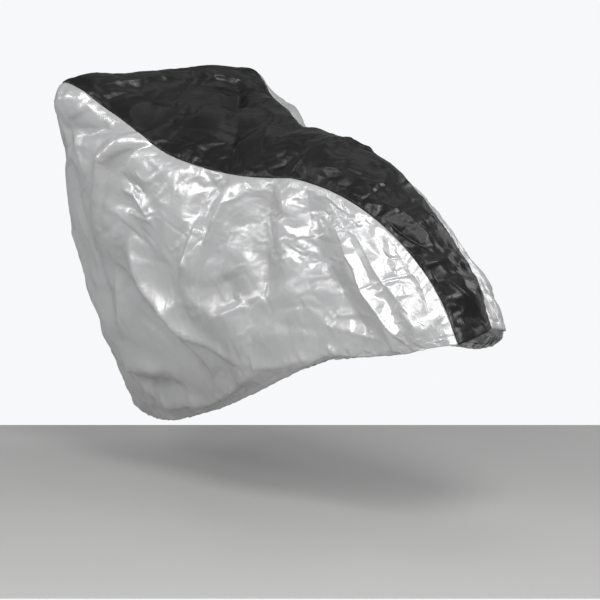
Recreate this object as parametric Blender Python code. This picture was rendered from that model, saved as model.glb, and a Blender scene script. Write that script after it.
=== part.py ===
"""Bicycle cover, draped over a bicycle that stands on its side stand and leans to its left.

Three sewn panels: a black centre strip over handlebar, saddle and rack, and a silver-coated panel on each
side. The bicycle is not part of the model. Run with: blender --background --python part.py
"""

import math
from collections import namedtuple
from functools import partial

import bpy
import numpy as np

# Driving sizes, in metres.
CLOTH = 0.0016  # coated cloth with its lining side, as built
HEM_CLOTH = 0.0030  # the hem is turned up over its elastic
HEM_DEPTH = 0.025  # width of the turned-up band
HEM_STEP = 0.008  # run-out from the band to the single cloth
SEAM_GAP = 0.0003  # clearance between two panels where they are sewn
SEAM_EDGE = 0.006  # narrow row along each seam
RIM_ANGLE = math.radians(50)  # edges sharper than this stay sharp when shaded

ROWS_ALONG = 60  # cells from the front hem over the top to the tail hem
ROWS_SIDE_LEFT = 22  # cells from a hem up to its seam
ROWS_CENTRE = 8
ROWS_SIDE_RIGHT = 11
SAMPLES_ACROSS = 160  # points used to measure a section's length

# Each section crosses the cover from its left hem over the crown to its right hem. Points are (x, y, z):
# x to the bicycle's rear, y to its right, z up from the floor it stands on.
Section = namedtuple(
    "Section",
    "name left_hem left_belly left_flank left_shoulder left_seam left_deck crown"
    " right_deck right_seam right_shoulder right_flank right_belly right_hem",
)
SECTIONS = (
    Section(
        "front hem",
        (-0.676, -0.045, 0.146), (-0.745, -0.040, 0.165), (-0.785, -0.025, 0.180), (-0.820, -0.005, 0.192),
        (-0.855, 0.025, 0.205), (-0.885, 0.055, 0.225), (-0.910, 0.090, 0.240), (-0.905, 0.130, 0.250),
        (-0.890, 0.160, 0.250), (-0.860, 0.178, 0.250), (-0.830, 0.190, 0.250), (-0.760, 0.185, 0.250),
        (-0.690, 0.175, 0.245),
    ),
    Section(
        "round the front wheel",
        (-0.580, -0.075, 0.147), (-0.690, -0.130, 0.285), (-0.755, -0.120, 0.360), (-0.815, -0.090, 0.420),
        (-0.860, -0.030, 0.460), (-0.900, 0.035, 0.485), (-0.925, 0.100, 0.500), (-0.910, 0.155, 0.500),
        (-0.870, 0.200, 0.490), (-0.810, 0.232, 0.455), (-0.740, 0.250, 0.410), (-0.650, 0.230, 0.330),
        (-0.580, 0.180, 0.255),
    ),
    Section(
        "middle of the front",
        (-0.450, -0.110, 0.160), (-0.545, -0.250, 0.370), (-0.585, -0.270, 0.530), (-0.640, -0.300, 0.690),
        (-0.670, -0.240, 0.790), (-0.700, -0.140, 0.840), (-0.710, -0.030, 0.860), (-0.690, 0.070, 0.860),
        (-0.640, 0.150, 0.830), (-0.595, 0.205, 0.740), (-0.520, 0.250, 0.600), (-0.460, 0.240, 0.430),
        (-0.430, 0.170, 0.280),
    ),
    Section(
        "under the handlebar",
        (-0.350, -0.125, 0.180), (-0.430, -0.305, 0.400), (-0.510, -0.360, 0.620), (-0.545, -0.405, 0.860),
        (-0.495, -0.430, 1.060), (-0.460, -0.340, 1.130), (-0.425, -0.220, 1.150), (-0.380, -0.090, 1.160),
        (-0.320, 0.035, 1.130), (-0.315, 0.078, 1.020), (-0.360, 0.170, 0.740), (-0.360, 0.230, 0.460),
        (-0.340, 0.155, 0.290),
    ),
    Section(
        "handlebar",
        (-0.270, -0.140, 0.200), (-0.320, -0.335, 0.430), (-0.400, -0.420, 0.690), (-0.445, -0.485, 0.970),
        (-0.420, -0.500, 1.172), (-0.365, -0.380, 1.203), (-0.325, -0.240, 1.212), (-0.265, -0.090, 1.228),
        (-0.215, 0.030, 1.212), (-0.215, 0.085, 1.100), (-0.250, 0.170, 0.750), (-0.260, 0.225, 0.470),
        (-0.250, 0.150, 0.305),
    ),
    Section(
        "behind the handlebar",
        (-0.130, -0.165, 0.238), (-0.150, -0.325, 0.435), (-0.190, -0.400, 0.670), (-0.235, -0.455, 0.920),
        (-0.260, -0.450, 1.095), (-0.235, -0.310, 1.145), (-0.200, -0.180, 1.165), (-0.150, -0.070, 1.180),
        (-0.090, 0.005, 1.140), (-0.080, 0.058, 1.108), (-0.130, 0.160, 0.730), (-0.130, 0.215, 0.480),
        (-0.125, 0.155, 0.330),
    ),
    Section(
        "top tube",
        (-0.003, -0.200, 0.275), (0.020, -0.315, 0.430), (-0.005, -0.370, 0.620), (-0.040, -0.400, 0.830),
        (-0.057, -0.385, 0.970), (-0.030, -0.270, 1.065), (0.000, -0.150, 1.095), (0.030, -0.080, 1.100),
        (0.050, -0.035, 1.070), (0.055, -0.012, 1.062), (0.020, 0.140, 0.710), (0.010, 0.210, 0.490),
        (0.000, 0.160, 0.370),
    ),
    Section(
        "saddle nose",
        (0.190, -0.255, 0.337), (0.170, -0.315, 0.408), (0.170, -0.345, 0.560), (0.165, -0.345, 0.770),
        (0.158, -0.320, 0.917), (0.175, -0.245, 1.005), (0.190, -0.165, 1.042), (0.200, -0.110, 1.045),
        (0.215, -0.050, 0.990), (0.215, -0.005, 0.930), (0.200, 0.110, 0.690), (0.180, 0.180, 0.510),
        (0.170, 0.155, 0.410),
    ),
    Section(
        "saddle back",
        (0.370, -0.285, 0.404), (0.385, -0.300, 0.428), (0.385, -0.315, 0.560), (0.385, -0.305, 0.750),
        (0.377, -0.285, 0.907), (0.390, -0.235, 0.985), (0.400, -0.165, 1.015), (0.415, -0.110, 1.005),
        (0.430, -0.070, 0.955), (0.430, -0.035, 0.890), (0.410, 0.070, 0.670), (0.380, 0.145, 0.520),
        (0.340, 0.140, 0.435),
    ),
    Section(
        "rack",
        (0.470, -0.270, 0.443), (0.505, -0.285, 0.470), (0.530, -0.285, 0.580), (0.555, -0.275, 0.730),
        (0.560, -0.250, 0.848), (0.575, -0.205, 0.895), (0.580, -0.155, 0.920), (0.575, -0.115, 0.925),
        (0.565, -0.080, 0.910), (0.560, -0.035, 0.878), (0.570, 0.050, 0.680), (0.530, 0.110, 0.530),
        (0.480, 0.120, 0.455),
    ),
    Section(
        "rear mudguard",
        (0.560, -0.255, 0.457), (0.610, -0.260, 0.480), (0.660, -0.260, 0.570), (0.700, -0.235, 0.670),
        (0.719, -0.210, 0.731), (0.735, -0.175, 0.765), (0.740, -0.135, 0.780), (0.730, -0.095, 0.782),
        (0.710, -0.060, 0.772), (0.680, -0.005, 0.762), (0.690, 0.035, 0.660), (0.640, 0.085, 0.540),
        (0.580, 0.100, 0.462),
    ),
    Section(
        "tail",
        (0.640, -0.245, 0.472), (0.705, -0.250, 0.490), (0.755, -0.245, 0.540), (0.800, -0.225, 0.585),
        (0.826, -0.200, 0.615), (0.840, -0.165, 0.640), (0.845, -0.130, 0.652), (0.832, -0.085, 0.655),
        (0.800, -0.050, 0.648), (0.778, 0.004, 0.650), (0.765, 0.030, 0.585), (0.715, 0.070, 0.510),
        (0.670, 0.085, 0.465),
    ),
    Section(
        "tail hem",
        (0.720, -0.235, 0.485), (0.780, -0.230, 0.495), (0.815, -0.222, 0.503), (0.850, -0.212, 0.510),
        (0.884, -0.200, 0.516), (0.893, -0.168, 0.526), (0.893, -0.135, 0.534), (0.885, -0.100, 0.541),
        (0.868, -0.065, 0.546), (0.848, -0.015, 0.538), (0.825, 0.015, 0.524), (0.785, 0.050, 0.500),
        (0.745, 0.065, 0.482),
    ),
)
GUIDES = Section._fields[1:]

# Between the left belly and the left hem the cloth hangs in a little further than a straight line.
TUCK_SAG = np.array((0.012, -0.012, -0.020))
TUCK_FULL_DROP = 0.30  # belly-to-hem distance at which the whole sag is reached

# A fold follows a route over the cloth: along is 0 at the front hem and 1 at the tail hem, across is 0 at
# the left hem and 1 at the right hem. rise is out of the cloth, or into it when negative, and reach is the
# fold's half width.
Fold = namedtuple("Fold", "name rise reach route")
FOLDS = (
    Fold("lever and grip under the cloth", 0.015, 0.030,
         ((0.560, 0.392), (0.542, 0.375), (0.523, 0.347), (0.508, 0.327), (0.502, 0.300), (0.485, 0.255))),
    Fold("hollow behind the grip", -0.018, 0.050, ((0.545, 0.330), (0.530, 0.290), (0.512, 0.250))),
    Fold("corner pleat", 0.012, 0.030, ((0.500, 0.398), (0.478, 0.380), (0.455, 0.360))),
    Fold("corner valley", -0.013, 0.036, ((0.465, 0.342), (0.480, 0.342), (0.505, 0.362), (0.530, 0.388))),
    Fold("pleat under the seam, crest", 0.017, 0.034, ((0.672, 0.398), (0.655, 0.350), (0.645, 0.300))),
    Fold("pleat under the seam, valley", -0.020, 0.036, ((0.652, 0.395), (0.632, 0.350), (0.622, 0.295))),
    Fold("saddle valley", -0.020, 0.040, ((0.712, 0.395), (0.700, 0.335), (0.705, 0.270), (0.712, 0.215))),
    Fold("saddle crest", 0.015, 0.040, ((0.738, 0.390), (0.730, 0.330), (0.734, 0.250))),
    Fold("second saddle valley", -0.017, 0.036, ((0.760, 0.395), (0.770, 0.320), (0.778, 0.260))),
    Fold("rear flank crest", 0.020, 0.030,
         ((0.795, 0.350), (0.825, 0.295), (0.855, 0.250), (0.915, 0.185), (0.965, 0.120))),
    Fold("rear flank valley", -0.015, 0.034,
         ((0.776, 0.320), (0.810, 0.250), (0.848, 0.195), (0.895, 0.140))),
    Fold("upper rear flank crest", 0.014, 0.026,
         ((0.822, 0.350), (0.877, 0.292), (0.935, 0.262), (0.985, 0.200))),
    Fold("long diagonal crest", 0.034, 0.044,
         ((0.510, 0.235), (0.514, 0.195), (0.520, 0.165), (0.535, 0.150), (0.556, 0.112), (0.580, 0.075))),
    Fold("long diagonal valley", -0.040, 0.058,
         ((0.478, 0.205), (0.484, 0.165), (0.498, 0.125), (0.522, 0.092), (0.548, 0.056))),
    Fold("front wheel pucker, upper", 0.020, 0.034, ((0.395, 0.078), (0.440, 0.074), (0.486, 0.064))),
    Fold("front wheel pucker, valley", -0.018, 0.034, ((0.395, 0.052), (0.445, 0.048), (0.500, 0.043))),
    Fold("front wheel pucker, lower", 0.018, 0.030, ((0.380, 0.028), (0.455, 0.026), (0.520, 0.018))),
    Fold("flank swell", 0.022, 0.090, ((0.595, 0.235), (0.625, 0.232))),
    Fold("flank dip behind the swell", -0.018, 0.060, ((0.655, 0.250), (0.668, 0.200))),
    Fold("belly crest, front", 0.015, 0.036,
         ((0.580, 0.162), (0.612, 0.178), (0.645, 0.176), (0.682, 0.205))),
    Fold("belly crest, rear", 0.014, 0.034, ((0.660, 0.135), (0.700, 0.160), (0.740, 0.165))),
    Fold("front flank drape", -0.026, 0.050,
         ((0.470, 0.330), (0.462, 0.260), (0.452, 0.180), (0.440, 0.110))),
    Fold("front edge crest", 0.018, 0.045, ((0.430, 0.300), (0.415, 0.210), (0.400, 0.130))),
    Fold("grip ridge in the strip", 0.009, 0.034, ((0.488, 0.425), (0.490, 0.480), (0.488, 0.545))),
    Fold("hollow behind the stem", -0.030, 0.060, ((0.500, 0.575), (0.545, 0.545), (0.575, 0.500))),
    Fold("strip crest to the right grip", 0.014, 0.038, ((0.535, 0.590), (0.570, 0.570), (0.620, 0.560))),
    Fold("strip crease, front", -0.017, 0.036, ((0.605, 0.500), (0.632, 0.450), (0.655, 0.408))),
    Fold("strip crest behind the crease", 0.012, 0.036, ((0.640, 0.510), (0.668, 0.465), (0.690, 0.430))),
    Fold("strip crease, saddle", -0.016, 0.034, ((0.725, 0.480), (0.715, 0.445), (0.700, 0.408))),
    Fold("strip crest, saddle", 0.011, 0.034, ((0.735, 0.410), (0.750, 0.450), (0.752, 0.500))),
    Fold("tail crest", 0.010, 0.026, ((0.915, 0.440), (0.950, 0.490), (0.982, 0.545))),
    Fold("tail valley", -0.010, 0.026, ((0.890, 0.490), (0.922, 0.530), (0.950, 0.585))),
    Fold("right bar-end drape, crest", 0.022, 0.055, ((0.440, 0.640), (0.430, 0.740), (0.420, 0.860))),
    Fold("right bar-end drape, valley", -0.026, 0.060, ((0.490, 0.660), (0.490, 0.760), (0.480, 0.880))),
    Fold("right pedal crest", 0.026, 0.070, ((0.560, 0.680), (0.590, 0.790), (0.600, 0.890))),
    Fold("right saddle valley", -0.024, 0.055, ((0.650, 0.660), (0.670, 0.760), (0.680, 0.880))),
    Fold("right rack crest", 0.018, 0.045, ((0.740, 0.660), (0.770, 0.750), (0.800, 0.860))),
    Fold("right tail valley", -0.012, 0.034, ((0.840, 0.680), (0.880, 0.740), (0.920, 0.820))),
    Fold("front drape, left", -0.020, 0.045, ((0.400, 0.430), (0.280, 0.425), (0.160, 0.430))),
    Fold("front drape, middle", 0.018, 0.050, ((0.410, 0.500), (0.290, 0.490), (0.150, 0.480))),
    Fold("front drape, right", -0.020, 0.045, ((0.400, 0.580), (0.280, 0.570), (0.160, 0.560))),
)
ROUTE_STEP = 12  # points taken along each leg of a fold's route
ROUTE_TAPER = 0.22  # share of the route over which a fold runs out at each end
ROUTE_END = 0.15  # share of the rise left at the very end
CREST = 1.5  # 2 gives a round fold, 1 a sharp one

# The point under the handlebar that holds the cover up becomes the origin.
MOUNT_SECTION = "handlebar"
MOUNT_GUIDE = "crown"

FINISHES = {
    "panel_left": ("silver coated cloth", (0.56, 0.57, 0.58, 1.0), 0.36, 0.55),
    "panel_centre": ("black cloth", (0.013, 0.013, 0.014, 1.0), 0.42, 0.0),
    "panel_right": ("silver coated cloth", (0.56, 0.57, 0.58, 1.0), 0.36, 0.55),
}


def clear_scene():
    for obj in list(bpy.data.objects):
        bpy.data.objects.remove(obj)


def guide_net():
    """The sections' points as one array, with the tuck between belly and hem added on the left."""
    net = np.array([section[1:] for section in SECTIONS])
    hem = net[:, GUIDES.index("left_hem")]
    belly = net[:, GUIDES.index("left_belly")]
    drop = np.linalg.norm(belly - hem, axis=1)[:, None]
    tuck = (hem + belly) / 2 + TUCK_SAG * np.clip(drop / TUCK_FULL_DROP, 0, 1)
    return np.insert(net, 1, tuck, axis=1)


def knots_of(points):
    """Places of a row of points by their distance along it, from 0 to 1."""
    steps = np.linalg.norm(np.diff(points, axis=0), axis=-1)
    if steps.ndim > 1:
        steps = steps.mean(axis=1)
    return np.concatenate(([0.0], np.cumsum(steps))) / steps.sum()


def spline_weights(knots, places):
    """How much each knot counts at each place, for a smooth curve through all of them."""
    places = np.atleast_1d(places)
    count = len(knots)
    slopes = np.zeros((count, count))
    for k in range(count):
        if k in (0, count - 1):
            near = 1 if k == 0 else count - 2
            span = knots[near] - knots[k]
            slopes[k, k], slopes[k, near] = -1 / span, 1 / span
            continue
        before = knots[k] - knots[k - 1]
        after = knots[k + 1] - knots[k]
        slopes[k, k - 1] = -after / (before * (before + after))
        slopes[k, k + 1] = before / (after * (before + after))
        slopes[k, k] = -slopes[k, k - 1] - slopes[k, k + 1]
    left = np.clip(np.searchsorted(knots, places, side="right") - 1, 0, count - 2)
    span = knots[left + 1] - knots[left]
    t = (places - knots[left]) / span
    weights = ((t**3 - 2 * t**2 + t) * span)[:, None] * slopes[left]
    weights += ((t**3 - t**2) * span)[:, None] * slopes[left + 1]
    rows = np.arange(len(places))
    weights[rows, left] += 2 * t**3 - 3 * t**2 + 1
    weights[rows, left + 1] += 3 * t**2 - 2 * t**3
    return weights


NET = guide_net()
NET_GUIDES = GUIDES[:1] + ("left_tuck",) + GUIDES[1:]
ALONG = knots_of(NET[:, NET_GUIDES.index("crown")])
FIRST_MIDDLE, LAST_MIDDLE = 3, 8  # the sections over the bicycle's frame, which set the places across
MIDDLE_SECTIONS = NET[FIRST_MIDDLE : LAST_MIDDLE + 1]
ACROSS = knots_of(np.swapaxes(MIDDLE_SECTIONS, 0, 1))
LEFT_SEAM = ACROSS[NET_GUIDES.index("left_seam")]
RIGHT_SEAM = ACROSS[NET_GUIDES.index("right_seam")]


def drape(along, across):
    """Points of the unfolded drape, for matching arrays of places along and across."""
    shape = np.shape(along)
    along_weights = spline_weights(ALONG, np.ravel(along))
    across_weights = spline_weights(ACROSS, np.ravel(across))
    points = np.einsum("pi,pj,ijk->pk", along_weights, across_weights, NET)
    return points.reshape(*shape, 3)


def outward(along, across, step=0.004):
    """Unit directions out of the cloth."""
    low_along, high_along = np.clip(along - step, 0, 1), np.clip(along + step, 0, 1)
    low_across, high_across = np.clip(across - step, 0, 1), np.clip(across + step, 0, 1)
    run = drape(high_along, across) - drape(low_along, across)
    rise = drape(along, high_across) - drape(along, low_across)
    normal = np.cross(run, rise)
    return normal / np.linalg.norm(normal, axis=-1, keepdims=True)


def fold_rise(points, fold):
    """How far one fold lifts each point of the cloth."""
    route = np.array(fold.route)
    legs = np.linspace(0, len(route) - 1, (len(route) - 1) * ROUTE_STEP + 1)
    along = np.interp(legs, range(len(route)), route[:, 0])
    across = np.interp(legs, range(len(route)), route[:, 1])
    line = drape(along, across)
    far = np.linalg.norm(points[..., None, :] - line, axis=-1)
    nearest = far.argmin(axis=-1)
    place = legs[nearest] / legs[-1]
    fade = np.clip(np.minimum(place, 1 - place) / ROUTE_TAPER, ROUTE_END, 1)
    return fold.rise * fade * np.exp(-((far.min(axis=-1) / fold.reach) ** CREST))


def folded(along, across):
    """Points of the cloth with its folds."""
    flat = drape(along, across)
    rise = sum(fold_rise(flat, fold) for fold in FOLDS)
    return flat + outward(along, across) * rise[..., None]


def rows_along():
    """Places along, with the two hem bands at their real depth."""
    length = np.linalg.norm(np.diff(NET[:, NET_GUIDES.index("crown")], axis=0), axis=1).sum()
    band, run_out = HEM_DEPTH / length, (HEM_DEPTH + HEM_STEP) / length
    middle = np.linspace(run_out, 1 - run_out, ROWS_ALONG + 1)
    return np.concatenate(([0, band], middle, [1 - band, 1]))


def places_across(along, low, high, cells, low_edge, high_edge):
    """For one row, places across from low to high, with the given narrow edge rows in metres."""
    across = np.linspace(low, high, SAMPLES_ACROSS)
    line = drape(np.full_like(across, along), across)
    run = np.concatenate(([0], np.cumsum(np.linalg.norm(np.diff(line, axis=0), axis=1))))
    low_marks = np.cumsum([0, *low_edge])
    high_marks = run[-1] - np.cumsum([0, *high_edge])[::-1]
    middle = np.linspace(low_marks[-1], high_marks[0], cells + 1)
    marks = np.concatenate((low_marks[:-1], middle, high_marks[1:]))
    return np.interp(marks, run, across)


def cloth_normal(along, across, step=0.002):
    """Unit directions out of the folded cloth, the same for both panels at a seam."""
    low_along, high_along = np.clip(along - step, 0, 1), np.clip(along + step, 0, 1)
    low_across, high_across = np.clip(across - step, 0, 1), np.clip(across + step, 0, 1)
    run = folded(high_along, across) - folded(low_along, across)
    rise = folded(along, high_across) - folded(along, low_across)
    normal = np.cross(run, rise)
    return normal / np.linalg.norm(normal, axis=-1, keepdims=True)


def panel_layers(low, high, cells, low_edge, high_edge, thickness):
    """The panel's outer face and its inner face, as two grids of points."""
    along = rows_along()
    across = np.array([places_across(row, low, high, cells, low_edge, high_edge) for row in along])
    along = np.repeat(along[:, None], across.shape[1], axis=1)
    outer = folded(along, across)
    return outer, outer - cloth_normal(along, across) * thickness(*across.shape)[..., None]


def trim_for_seam(layers, column, inner):
    """Draws one edge column of both faces back from the seam by half the clearance."""
    outer = layers[0]
    back = outer[:, inner] - outer[:, column]
    back *= SEAM_GAP / 2 / np.linalg.norm(back, axis=-1, keepdims=True)
    for layer in layers:
        layer[:, column] += back


def finish(name):
    label, colour, roughness, metallic = FINISHES[name]
    material = bpy.data.materials.get(label) or bpy.data.materials.new(label)
    material.use_nodes = True
    shader = material.node_tree.nodes["Principled BSDF"]
    shader.inputs["Base Color"].default_value = colour
    shader.inputs["Roughness"].default_value = roughness
    shader.inputs["Metallic"].default_value = metallic
    return material


def thickness(rows, columns, left_hem=False, right_hem=False):
    """Thickness at each point: the turned-up bands are thicker than the single cloth."""
    layers = np.full((rows, columns), CLOTH)
    layers[:2] = layers[-2:] = HEM_CLOTH
    if left_hem:
        layers[:, :2] = HEM_CLOTH
    if right_hem:
        layers[:, -2:] = HEM_CLOTH
    return layers


def add_panel(name, layers, collection):
    """One closed panel, whose two faces are laid directly, so that panels share the seam's direction."""
    rows, columns = layers[0].shape[:2]
    points = [(layer - MOUNT_POINT).reshape(-1, 3) for layer in layers]
    index = np.arange(rows * columns).reshape(rows, columns)
    under = rows * columns
    cells = np.stack((index[:-1, :-1], index[1:, :-1], index[1:, 1:], index[:-1, 1:]), axis=-1).reshape(-1, 4)
    # Both faces are split along the same diagonals, the shorter ones, so that they never cross.
    corners = points[0][cells]
    long_way = np.linalg.norm(corners[:, 0] - corners[:, 2], axis=1)
    short_way = np.linalg.norm(corners[:, 1] - corners[:, 3], axis=1)
    cells = np.where((long_way > short_way)[:, None], np.roll(cells, -1, axis=1), cells)
    outer = np.concatenate((cells[:, [0, 1, 2]], cells[:, [0, 2, 3]]))
    inner = outer[:, ::-1] + under
    rim = np.concatenate((index[:-1, 0], index[-1, :-1], index[:0:-1, -1], index[0, :0:-1]))
    onward = np.roll(rim, -1)
    # The rim's diagonals run the same way on both sides of a seam, so its twisted faces stay parallel.
    rising = onward > rim
    near = np.stack((onward, rim, np.where(rising, rim, onward) + under), axis=-1)
    far = np.stack((np.where(rising, onward, rim), rim + under, onward + under), axis=-1)
    faces = [*outer.tolist(), *inner.tolist(), *near.tolist(), *far.tolist()]

    mesh = bpy.data.meshes.new(name)
    mesh.from_pydata(np.concatenate(points).tolist(), [], faces)
    mesh.validate()
    mesh.shade_smooth()
    mesh.set_sharp_from_angle(angle=RIM_ANGLE)
    mesh.materials.append(finish(name))
    panel = bpy.data.objects.new(name, mesh)
    collection.objects.link(panel)


HANDLEBAR = [section.name for section in SECTIONS].index(MOUNT_SECTION)
CROWN = NET_GUIDES.index(MOUNT_GUIDE)
MOUNT_ALONG, MOUNT_ACROSS = np.array(ALONG[HANDLEBAR]), np.array(ACROSS[CROWN])
MOUNT_POINT = folded(MOUNT_ALONG, MOUNT_ACROSS) - cloth_normal(MOUNT_ALONG, MOUNT_ACROSS) * CLOTH


def build():
    clear_scene()
    collection = bpy.data.collections.new("bicycle cover")
    bpy.context.scene.collection.children.link(collection)
    hem, seam = (HEM_DEPTH, HEM_STEP), (SEAM_EDGE,)

    left = panel_layers(0, LEFT_SEAM, ROWS_SIDE_LEFT, hem, seam, partial(thickness, left_hem=True))
    trim_for_seam(left, -1, -2)
    add_panel("panel_left", left, collection)

    centre = panel_layers(LEFT_SEAM, RIGHT_SEAM, ROWS_CENTRE, seam, seam, thickness)
    trim_for_seam(centre, 0, 1)
    trim_for_seam(centre, -1, -2)
    add_panel("panel_centre", centre, collection)

    right = panel_layers(RIGHT_SEAM, 1, ROWS_SIDE_RIGHT, seam, hem, partial(thickness, right_hem=True))
    trim_for_seam(right, 0, 1)
    add_panel("panel_right", right, collection)


build()
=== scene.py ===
import math

import bpy
import numpy as np
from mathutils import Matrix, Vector


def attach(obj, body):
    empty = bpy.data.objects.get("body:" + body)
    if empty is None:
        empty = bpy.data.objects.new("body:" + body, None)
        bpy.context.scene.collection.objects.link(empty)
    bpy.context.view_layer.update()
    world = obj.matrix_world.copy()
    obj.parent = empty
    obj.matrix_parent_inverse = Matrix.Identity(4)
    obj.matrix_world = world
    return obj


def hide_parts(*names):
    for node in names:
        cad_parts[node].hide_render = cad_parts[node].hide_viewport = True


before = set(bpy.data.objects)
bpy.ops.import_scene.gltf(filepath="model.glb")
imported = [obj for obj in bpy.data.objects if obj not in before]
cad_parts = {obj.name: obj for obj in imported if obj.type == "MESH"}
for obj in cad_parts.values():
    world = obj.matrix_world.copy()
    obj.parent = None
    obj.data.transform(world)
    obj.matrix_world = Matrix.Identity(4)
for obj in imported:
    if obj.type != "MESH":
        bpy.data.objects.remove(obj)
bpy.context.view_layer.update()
print("frame loaded")

# All three panels share one drape. A section crosses from the left hem over the crown to the right hem, in
# millimetres: x to the bicycle's rear, y to its right, z up from the floor. Along is 0 at the front hem and
# 1 at the tail hem; across is 0 at the left hem and 1 at the right one.
guideNames = (
    "leftHem", "leftTuck", "leftBelly", "leftFlank", "leftShoulder", "leftSeam", "leftDeck", "crown",
    "rightDeck", "rightSeam", "rightShoulder", "rightFlank", "rightBelly", "rightHem",
)
sections = {
    "front hem": (
        (-676, -45, 146), (-745, -40, 165), (-785, -25, 180), (-820, -5, 192), (-855, 25, 205),
        (-885, 55, 225), (-910, 90, 240), (-905, 130, 250), (-890, 160, 250), (-860, 178, 250),
        (-830, 190, 250), (-760, 185, 250), (-690, 175, 245),
    ),
    "round the front wheel": (
        (-580, -75, 147), (-690, -130, 285), (-755, -120, 360), (-815, -90, 420), (-860, -30, 460),
        (-900, 35, 485), (-925, 100, 500), (-910, 155, 500), (-870, 200, 490), (-810, 232, 455),
        (-740, 250, 410), (-650, 230, 330), (-580, 180, 255),
    ),
    "middle of the front": (
        (-450, -110, 160), (-545, -250, 370), (-585, -270, 530), (-640, -300, 690), (-670, -240, 790),
        (-700, -140, 840), (-710, -30, 860), (-690, 70, 860), (-640, 150, 830), (-595, 205, 740),
        (-520, 250, 600), (-460, 240, 430), (-430, 170, 280),
    ),
    "under the handlebar": (
        (-350, -125, 180), (-430, -305, 400), (-510, -360, 620), (-545, -405, 860), (-495, -430, 1060),
        (-460, -340, 1130), (-425, -220, 1150), (-380, -90, 1160), (-320, 35, 1130), (-315, 78, 1020),
        (-360, 170, 740), (-360, 230, 460), (-340, 155, 290),
    ),
    "handlebar": (
        (-270, -140, 200), (-320, -335, 430), (-400, -420, 690), (-445, -485, 970), (-420, -500, 1172),
        (-365, -380, 1203), (-325, -240, 1212), (-265, -90, 1228), (-215, 30, 1212), (-215, 85, 1100),
        (-250, 170, 750), (-260, 225, 470), (-250, 150, 305),
    ),
    "behind the handlebar": (
        (-130, -165, 238), (-150, -325, 435), (-190, -400, 670), (-235, -455, 920), (-260, -450, 1095),
        (-235, -310, 1145), (-200, -180, 1165), (-150, -70, 1180), (-90, 5, 1140), (-80, 58, 1108),
        (-130, 160, 730), (-130, 215, 480), (-125, 155, 330),
    ),
    "top tube": (
        (-3, -200, 275), (20, -315, 430), (-5, -370, 620), (-40, -400, 830), (-57, -385, 970),
        (-30, -270, 1065), (0, -150, 1095), (30, -80, 1100), (50, -35, 1070), (55, -12, 1062),
        (20, 140, 710), (10, 210, 490), (0, 160, 370),
    ),
    "saddle nose": (
        (190, -255, 337), (170, -315, 408), (170, -345, 560), (165, -345, 770), (158, -320, 917),
        (175, -245, 1005), (190, -165, 1042), (200, -110, 1045), (215, -50, 990), (215, -5, 930),
        (200, 110, 690), (180, 180, 510), (170, 155, 410),
    ),
    "saddle back": (
        (370, -285, 404), (385, -300, 428), (385, -315, 560), (385, -305, 750), (377, -285, 907),
        (390, -235, 985), (400, -165, 1015), (415, -110, 1005), (430, -70, 955), (430, -35, 890),
        (410, 70, 670), (380, 145, 520), (340, 140, 435),
    ),
    "rack": (
        (470, -270, 443), (505, -285, 470), (530, -285, 580), (555, -275, 730), (560, -250, 848),
        (575, -205, 895), (580, -155, 920), (575, -115, 925), (565, -80, 910), (560, -35, 878),
        (570, 50, 680), (530, 110, 530), (480, 120, 455),
    ),
    "rear mudguard": (
        (560, -255, 457), (610, -260, 480), (660, -260, 570), (700, -235, 670), (719, -210, 731),
        (735, -175, 765), (740, -135, 780), (730, -95, 782), (710, -60, 772), (680, -5, 762),
        (690, 35, 660), (640, 85, 540), (580, 100, 462),
    ),
    "tail": (
        (640, -245, 472), (705, -250, 490), (755, -245, 540), (800, -225, 585), (826, -200, 615),
        (840, -165, 640), (845, -130, 652), (832, -85, 655), (800, -50, 648), (778, 4, 650), (765, 30, 585),
        (715, 70, 510), (670, 85, 465),
    ),
    "tail hem": (
        (720, -235, 485), (780, -230, 495), (815, -222, 503), (850, -212, 510), (884, -200, 516),
        (893, -168, 526), (893, -135, 534), (885, -100, 541), (868, -65, 546), (848, -15, 538),
        (825, 15, 524), (785, 50, 500), (745, 65, 482),
    ),
}
cover = {
    "origin": (-0.3248, -0.2400, 1.2114),  # under the crown at the handlebar, from the floor between wheels
    "tuckSag": (0.012, -0.012, -0.020),  # how far the left side hangs in between belly and hem
    "tuckFullDrop": 0.30,
    "frameSections": slice(3, 9),  # those over the bicycle's frame, which set the places across
    "rows": 400,  # cells from front hem to tail hem, closer together where the folds are finest
    "rowDensity": ((0.0, 1.0), (0.40, 1.0), (0.46, 1.6), (0.95, 1.6), (1.0, 1.2)),
    "hemMarks": (0.0, 0.005, 0.0115, 0.018, 0.0215, 0.025, 0.029, 0.034),  # lines of the hem band
    "seamMarks": (0.0, 0.0012, 0.0026, 0.0045, 0.0075, 0.0110),  # and those beside a seam
    "marksShare": 0.4,  # of a narrow panel's width, at most
    "samples": {"along": 2000, "across": 200, "share": 400},
    "normalStep": 0.004,
    "cloth": 0.0009,
    "hemCloth": 0.0026,
    "endWidth": 0.6,
}
fold = {
    "sharpness": 1.5,
    "taper": 0.22,
    "routeEnd": 0.15,
    "legSteps": 4,
    "farthest": 5,  # half widths from its line, past which a fold no longer counts
    "sideBlur": 0.001,
}

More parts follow.
